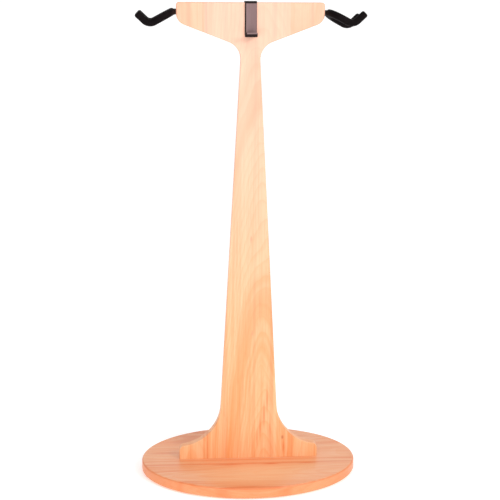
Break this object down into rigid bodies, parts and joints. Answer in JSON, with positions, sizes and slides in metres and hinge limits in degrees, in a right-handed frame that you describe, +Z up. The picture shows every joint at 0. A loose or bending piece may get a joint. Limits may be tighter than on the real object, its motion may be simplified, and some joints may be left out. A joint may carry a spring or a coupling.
{
  "type": "guitar rack",
  "caption": "Free-standing wooden stand: a flat T-shaped upright on an oval base, a rubber-sleeved yoke turning on each end of the head, a steel strap hook over the top.",
  "frame": {"origin": "on the floor under the middle of the base", "axes": "+Z up, +X to the right seen from the front, -Y towards the front, where the strap hook's J is"},
  "size_m": [0.558, 0.4099, 1.205],
  "materials": {
    "base_wood": "satin lacquer",
    "upright_wood": "satin lacquer",
    "dowel_wood": "raw",
    "felt": "pressed felt",
    "zinc_steel": "zinc plated",
    "black_steel": "blackened steel",
    "brass": "machined",
    "dark_steel": "dark lacquered steel",
    "black_rubber": "matt"
  },
  "bodies": {
    "stand": {"base_front_plank": "base_wood", "base_centre_plank": "base_wood", "base_back_plank": "base_wood", "centre_plank": "upright_wood", "head_wing_left": "upright_wood", "head_wing_right": "upright_wood", "foot_wing_left": "upright_wood", "foot_wing_right": "upright_wood", "base_dowels": "dowel_wood", "locating_dowels": "dowel_wood", "wing_dowels": "dowel_wood", "floor_pads": "felt", "base_bolts": "zinc_steel", "bolt_washers": "zinc_steel", "foot_inserts": "brass", "strap_hook": "dark_steel", "strap_screws": "dark_steel", "left_stem_insert": "brass", "left_end_washer": "black_steel", "right_stem_insert": "brass", "right_end_washer": "black_steel"},
    "left_yoke": {"left_stem": "black_steel", "left_lock_nut": "black_steel", "left_yoke_rod": "black_steel", "left_front_sleeve": "black_rubber", "left_rear_sleeve": "black_rubber"},
    "right_yoke": {"right_stem": "black_steel", "right_lock_nut": "black_steel", "right_yoke_rod": "black_steel", "right_front_sleeve": "black_rubber", "right_rear_sleeve": "black_rubber"}
  },
  "joints": [
    {"name": "left_yoke_swivel", "type": "hinge", "parent": "stand", "child": "left_yoke", "pos_m": [-0.18, 0, 1.1795], "axis": [1, 0, 0], "continuous": true},
    {"name": "right_yoke_swivel", "type": "hinge", "parent": "stand", "child": "right_yoke", "pos_m": [0.18, 0, 1.177], "axis": [1, 0, 0], "continuous": true}
  ]
}
